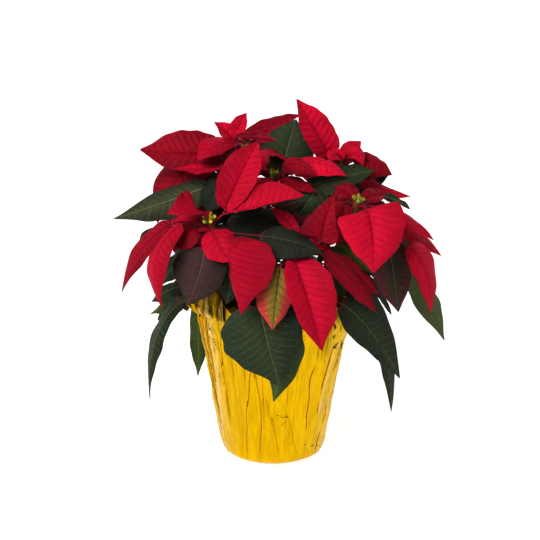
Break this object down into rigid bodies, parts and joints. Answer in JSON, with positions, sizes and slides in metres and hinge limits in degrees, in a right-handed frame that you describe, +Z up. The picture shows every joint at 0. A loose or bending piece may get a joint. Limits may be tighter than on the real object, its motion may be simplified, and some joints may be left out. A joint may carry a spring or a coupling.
{
  "type": "potted poinsettia",
  "caption": "Red poinsettia with dark green leaves in a nursery pot, inside a tapered gold foil pot cover with a ruffled lip.",
  "frame": {"origin": "centre of the flat foot of the foil cover, which stands on the table", "axes": "+Z up along the pot's axis; the plant's best side faces -Y, with +X to the viewer's right"},
  "size_m": [0.3743, 0.3412, 0.409],
  "materials": {
    "gold_foil": "metallised film, creased",
    "pot_plastic": "dull, dark green",
    "peat_soil": "rough and crumbly",
    "woody_stem": "young bark, dull",
    "green_leaf": "satin leaf with paler veins",
    "red_bract": "velvety bract with ribbed veins",
    "cyathia_green": "waxy"
  },
  "bodies": {
    "root": {"foil_cover": "gold_foil", "nursery_pot": "pot_plastic", "potting_soil": "peat_soil", "main_stem": "woody_stem", "branch_front_left": "green_leaf", "bloom_front_left": "red_bract", "cyathia_front_left": "cyathia_green", "branch_upper_left": "green_leaf", "bloom_upper_left": "red_bract", "cyathia_upper_left": "cyathia_green", "branch_middle": "green_leaf", "bloom_middle": "red_bract", "cyathia_middle": "cyathia_green", "branch_upper_right": "green_leaf", "bloom_upper_right": "red_bract", "cyathia_upper_right": "cyathia_green", "branch_right": "green_leaf", "bloom_right": "red_bract", "cyathia_right": "cyathia_green", "branch_front": "green_leaf", "bloom_front": "red_bract", "cyathia_front": "cyathia_green", "branch_back": "green_leaf", "bloom_back": "red_bract", "cyathia_back": "cyathia_green", "branch_back_right": "green_leaf", "bloom_back_right": "red_bract", "cyathia_back_right": "cyathia_green", "branch_back_left": "green_leaf", "bloom_back_left": "red_bract", "cyathia_back_left": "cyathia_green", "branch_left": "green_leaf", "bloom_left": "red_bract", "cyathia_left": "cyathia_green", "branch_side_right": "green_leaf", "bloom_side_right": "red_bract", "cyathia_side_right": "cyathia_green", "branch_back_low": "green_leaf", "bloom_back_low": "red_bract", "cyathia_back_low": "cyathia_green"}
  },
  "joints": []
}
